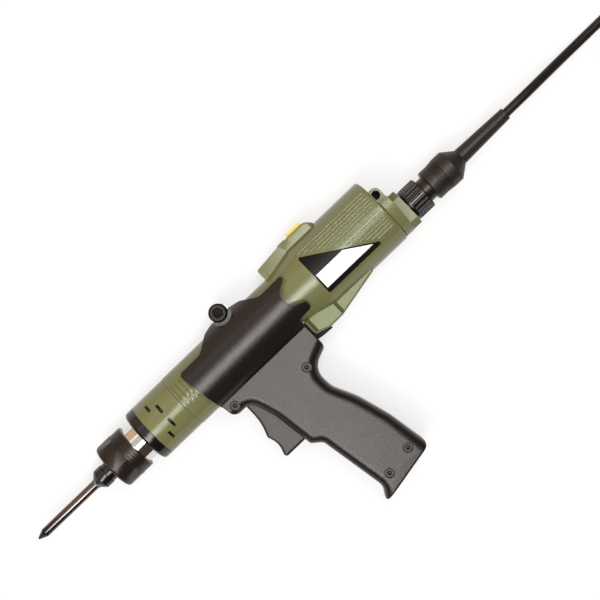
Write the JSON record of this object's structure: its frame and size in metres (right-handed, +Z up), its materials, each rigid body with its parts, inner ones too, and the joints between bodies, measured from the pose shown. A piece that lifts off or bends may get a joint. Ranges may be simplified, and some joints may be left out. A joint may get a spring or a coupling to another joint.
{
  "type": "electric screwdriver",
  "caption": "Corded in-line electric screwdriver with torque nut, clamped in a pistol grip whose trigger lifts the start lever through a link; planetary geared motor drives the bit.",
  "frame": {"origin": "on the bench under the middle of the tool, cord not counted", "axes": "+X from the bit towards the cord, +Y away from the grip, +Z up from the bench that the tool lies on"},
  "size_m": [0.6246, 0.1804, 0.0523],
  "materials": {
    "green_plastic": "fine grain",
    "black_plastic": "fine grain",
    "grip_plastic": "moulded grain",
    "black_rubber": "matt",
    "bright_chrome": "polished",
    "tool_steel": "ground",
    "spring_steel": "drawn",
    "black_steel": "blackened",
    "yellow_plastic": "moulded",
    "plate_film": "printed film without lettering",
    "board_plastic": "laminate",
    "copper": "bare",
    "magnet": "ferrite",
    "bronze": "sintered"
  },
  "bodies": {
    "body": {"spindle_bearings": "bronze", "clutch_spring": "spring_steel", "clutch_washer": "spring_steel", "clutch_pins": "tool_steel", "clutch_sleeve": "bright_chrome", "gear_cover": "tool_steel", "front_ring": "black_plastic", "nose_housing": "green_plastic", "ring_gear": "black_plastic", "motor_plate": "black_steel", "motor_bearings": "bronze", "motor_can": "black_steel", "motor_magnets": "magnet", "brush_holder": "black_plastic", "carbon_brushes": "magnet", "left_housing": "green_plastic", "right_housing": "green_plastic", "housing_screws": "spring_steel", "rating_plate": "plate_film", "direction_switch": "black_plastic", "circuit_board": "board_plastic", "start_switch": "black_plastic", "lever_pin": "spring_steel", "rear_cover": "green_plastic", "supply_socket": "black_steel", "plug_body": "black_plastic", "plug_boot": "black_rubber", "left_grip": "grip_plastic", "right_grip": "grip_plastic", "grip_screws": "black_steel", "clamp_bolt": "black_steel", "clamp_nut": "spring_steel", "trigger_pin": "spring_steel", "trigger_spring": "spring_steel", "link_pin": "spring_steel", "cord_lead": "black_rubber", "cord_coil": "black_rubber", "cord_tie": "black_rubber", "far_plug": "black_rubber"},
    "spindle": {"bit": "tool_steel", "spindle": "tool_steel", "chuck_balls": "spring_steel", "chuck_spring": "spring_steel", "planet_carrier": "tool_steel"},
    "chuck": {"chuck_sleeve": "black_steel"},
    "thrust": {"thrust_washer": "spring_steel"},
    "nut": {"torque_nut": "black_plastic"},
    "planet_1": {"planet_gear_1": "tool_steel"},
    "planet_2": {"planet_gear_2": "tool_steel"},
    "planet_3": {"planet_gear_3": "tool_steel"},
    "rotor": {"rotor_shaft": "tool_steel", "armature_core": "tool_steel", "armature_windings": "copper", "commutator": "copper"},
    "slider": {"direction_slider": "yellow_plastic"},
    "trigger": {"trigger": "black_plastic"},
    "link": {"trigger_link": "black_plastic"},
    "lever": {"start_lever": "green_plastic"},
    "pin": {"start_pin": "black_plastic"},
    "coupling": {"coupling_ring": "black_plastic"}
  },
  "joints": [
    {"name": "spindle_spin", "type": "hinge", "parent": "body", "child": "spindle", "pos_m": [-0.11625, 0.056, 0.026], "axis": [1, 0, 0], "continuous": true},
    {"name": "chuck_slide", "type": "slide", "parent": "spindle", "child": "chuck", "axis": [1, 0, 0], "range_m": [0, 0.0035], "stiffness_N_per_m": 800, "springref_m": -0.004, "deforming": ["chuck_spring"]},
    {"name": "nut_travel", "type": "slide", "parent": "body", "child": "thrust", "axis": [1, 0, 0], "range_m": [-0.0045, 0.0045], "deforming": ["clutch_spring"]},
    {"name": "nut_turn", "type": "hinge", "parent": "thrust", "child": "nut", "pos_m": [-0.13625, 0.056, 0.026], "axis": [1, 0, 0], "range_deg": [-1090, 1090]},
    {"name": "planet_1_spin", "type": "hinge", "parent": "spindle", "child": "planet_1", "pos_m": [-0.10575, 0.06275, 0.026], "axis": [1, 0, 0], "continuous": true},
    {"name": "planet_2_spin", "type": "hinge", "parent": "spindle", "child": "planet_2", "pos_m": [-0.10575, 0.05262, 0.03185], "axis": [1, 0, 0], "continuous": true},
    {"name": "planet_3_spin", "type": "hinge", "parent": "spindle", "child": "planet_3", "pos_m": [-0.10575, 0.05262, 0.02015], "axis": [1, 0, 0], "continuous": true},
    {"name": "rotor_spin", "type": "hinge", "parent": "body", "child": "rotor", "pos_m": [-0.05625, 0.056, 0.026], "axis": [1, 0, 0], "continuous": true},
    {"name": "direction_slide", "type": "slide", "parent": "body", "child": "slider", "axis": [1, 0, 0], "range_m": [-0.002, 0.002]},
    {"name": "trigger_pull", "type": "hinge", "parent": "body", "child": "trigger", "pos_m": [-0.04675, 0.026, 0.026], "axis": [0, 0, 1], "range_deg": [0, 6], "stiffness_Nm_per_rad": 1.2, "springref_deg": -8.59, "deforming": ["trigger_spring"]},
    {"name": "link_rock", "type": "hinge", "parent": "body", "child": "link", "pos_m": [0.00375, 0.027, 0.026], "axis": [0, 0, 1], "range_deg": [-0.5, 6.5]},
    {"name": "lever_lift", "type": "hinge", "parent": "body", "child": "lever", "pos_m": [0.07375, 0.0342, 0.026], "axis": [0, 0, 1], "range_deg": [-3.6, 0.3]},
    {"name": "start_push", "type": "slide", "parent": "body", "child": "pin", "axis": [0, 1, 0], "range_m": [-0.0001, 0.0025]},
    {"name": "coupling_turn", "type": "hinge", "parent": "body", "child": "coupling", "pos_m": [0.13175, 0.045, 0.026], "axis": [1, 0, 0], "continuous": true}
  ],
  "couplings": [
    {"joint": "spindle_spin", "follows": "rotor_spin", "ratio": 0.22222},
    {"joint": "planet_1_spin", "follows": "rotor_spin", "ratio": -0.62222},
    {"joint": "planet_2_spin", "follows": "rotor_spin", "ratio": -0.62222},
    {"joint": "planet_3_spin", "follows": "rotor_spin", "ratio": -0.62222},
    {"joint": "nut_turn", "follows": "nut_travel", "rad_per_m": 4188.8},
    {"joint": "link_rock", "follows": "trigger_pull", "ratio": 1},
    {"joint": "lever_lift", "follows": "trigger_pull", "ratio": -0.56},
    {"joint": "start_push", "follows": "trigger_pull", "m_per_rad": 0.0224}
  ]
}
